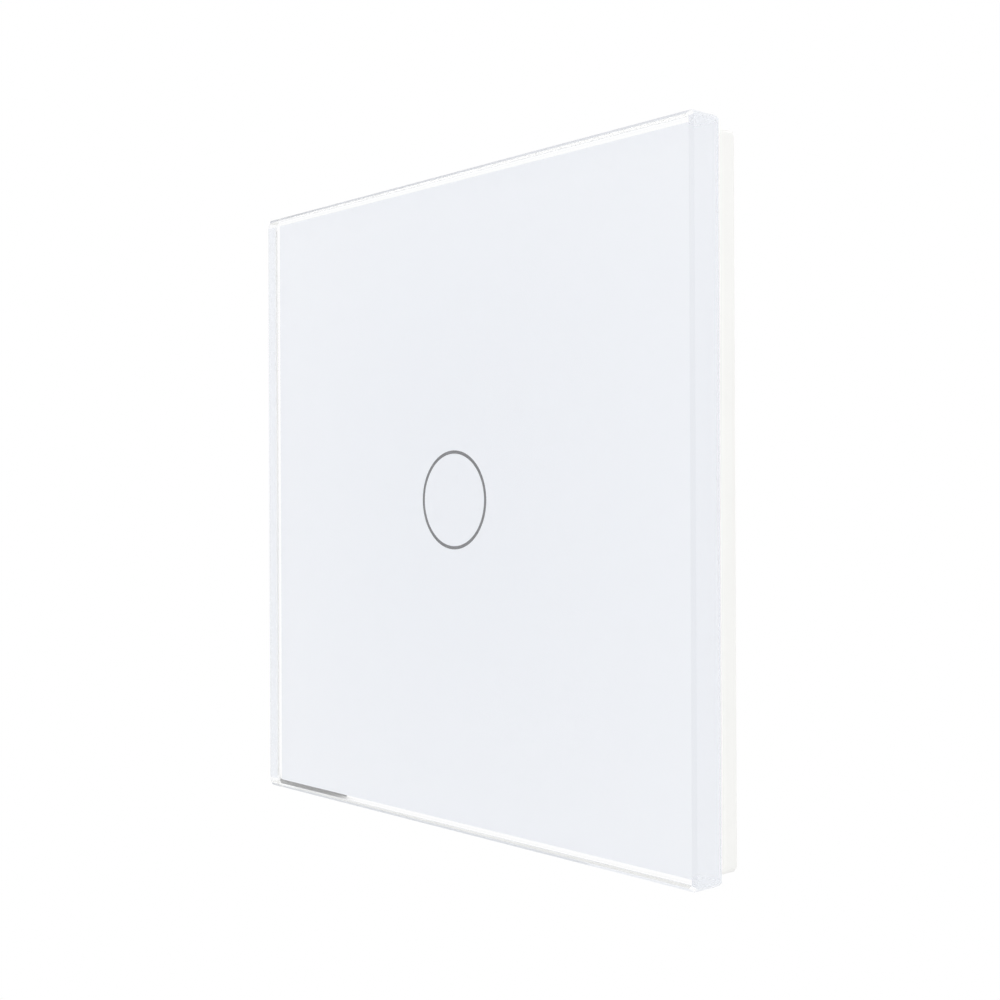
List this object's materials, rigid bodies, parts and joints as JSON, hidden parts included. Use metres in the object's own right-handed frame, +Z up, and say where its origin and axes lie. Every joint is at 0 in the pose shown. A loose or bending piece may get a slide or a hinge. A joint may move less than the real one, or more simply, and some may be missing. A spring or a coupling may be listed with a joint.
{
  "type": "touch light switch",
  "caption": "Square white glass touch switch for a wall: a pull-off glass panel with a ring mark over a flush relay module with screw terminals.",
  "frame": {"origin": "middle of the wall surface, on the back of the mounting plate, between the fixing screws", "axes": "+Y into the wall, so the glass faces -Y; +Z up; +X to the right seen from the front"},
  "size_m": [0.08, 0.0288, 0.08],
  "materials": {
    "clear_glass": "polished tempered glass",
    "white_enamel": "white enamel print seen through the glass",
    "ring_print": "dark grey translucent ink",
    "adhesive": "white foam adhesive",
    "frame_plastic": "fine satin moulding",
    "plate_steel": "zinc-plated sheet",
    "cover_plastic": "fine satin moulding",
    "guide_plastic": "frosted clear moulding",
    "spring_steel": "plated spring wire",
    "board_laminate": "green solder mask",
    "chip_resin": "moulded resin",
    "led_resin": "pale lens resin",
    "header_plastic": "black moulding",
    "tinned_pin": "tinned",
    "film_case": "box capacitor case",
    "can_sleeve": "shrunk sleeve",
    "bobbin_plastic": "moulded bobbin",
    "ferrite": "sintered ferrite",
    "winding_tape": "yellow tape",
    "varistor_coat": "blue epoxy coat",
    "fuse_case": "brown moulding",
    "relay_case": "blue moulding",
    "copper_wire": "enamelled copper",
    "soft_iron": "nickel plate",
    "contact_brass": "bare",
    "terminal_plastic": "green moulding",
    "cage_steel": "zinc plate",
    "screw_steel": "zinc plate",
    "housing_plastic": "fine spark texture"
  },
  "bodies": {
    "module": {"mounting_plate": "plate_steel", "front_cover": "cover_plastic", "light_guide": "guide_plastic", "touch_spring": "spring_steel", "sensor_board": "board_laminate", "touch_chip": "chip_resin", "indicator_leds": "led_resin", "board_header": "header_plastic", "header_pins": "tinned_pin", "power_board": "board_laminate", "rectifier": "chip_resin", "film_capacitor": "film_case", "smoothing_capacitor": "can_sleeve", "transformer_bobbin": "bobbin_plastic", "transformer_core": "ferrite", "transformer_winding": "winding_tape", "varistor": "varistor_coat", "fuse": "fuse_case", "relay_base": "header_plastic", "relay_cover": "relay_case", "relay_bobbin": "bobbin_plastic", "relay_winding": "copper_wire", "relay_yoke": "soft_iron", "relay_fixed_contact": "contact_brass", "relay_pins": "tinned_pin", "contact_bars": "contact_brass", "rear_housing": "housing_plastic", "housing_screws": "screw_steel", "terminal_block_1": "terminal_plastic", "terminal_block_2": "terminal_plastic", "terminal_block_3": "terminal_plastic"},
    "panel": {"glass_panel": "clear_glass", "enamel_layer": "white_enamel", "indicator_ring": "ring_print", "glass_adhesive": "adhesive", "panel_frame": "frame_plastic"},
    "armature": {"relay_armature": "soft_iron", "relay_contact_arm": "contact_brass"},
    "screw_1": {"clamp_screw_1": "screw_steel"},
    "clamp_1": {"clamp_cage_1": "cage_steel"},
    "screw_2": {"clamp_screw_2": "screw_steel"},
    "clamp_2": {"clamp_cage_2": "cage_steel"},
    "screw_3": {"clamp_screw_3": "screw_steel"},
    "clamp_3": {"clamp_cage_3": "cage_steel"}
  },
  "joints": [
    {"name": "panel_pull", "type": "slide", "parent": "module", "child": "panel", "axis": [0, -1, 0], "range_m": [0, 0.03]},
    {"name": "armature_pivot", "type": "hinge", "parent": "module", "child": "armature", "pos_m": [0.00186, 0.0147, -0.00455], "axis": [0, 0, -1], "range_deg": [0, 5], "stiffness_Nm_per_rad": 0.0008},
    {"name": "screw_turn_1", "type": "hinge", "parent": "module", "child": "screw_1", "pos_m": [-0.008, 0.0157, -0.0146], "axis": [0, -1, 0], "range_deg": [0, 1440]},
    {"name": "clamp_rise_1", "type": "slide", "parent": "module", "child": "clamp_1", "axis": [0, 1, 0], "range_m": [0, 0.002]},
    {"name": "screw_turn_2", "type": "hinge", "parent": "module", "child": "screw_2", "pos_m": [0, 0.0157, -0.0146], "axis": [0, -1, 0], "range_deg": [0, 1440]},
    {"name": "clamp_rise_2", "type": "slide", "parent": "module", "child": "clamp_2", "axis": [0, 1, 0], "range_m": [0, 0.002]},
    {"name": "screw_turn_3", "type": "hinge", "parent": "module", "child": "screw_3", "pos_m": [0.008, 0.0157, -0.0146], "axis": [0, -1, 0], "range_deg": [0, 1440]},
    {"name": "clamp_rise_3", "type": "slide", "parent": "module", "child": "clamp_3", "axis": [0, 1, 0], "range_m": [0, 0.002]}
  ],
  "couplings": [
    {"joint": "screw_turn_1", "follows": "clamp_rise_1", "rad_per_m": 12566},
    {"joint": "screw_turn_2", "follows": "clamp_rise_2", "rad_per_m": 12566},
    {"joint": "screw_turn_3", "follows": "clamp_rise_3", "rad_per_m": 12566}
  ]
}
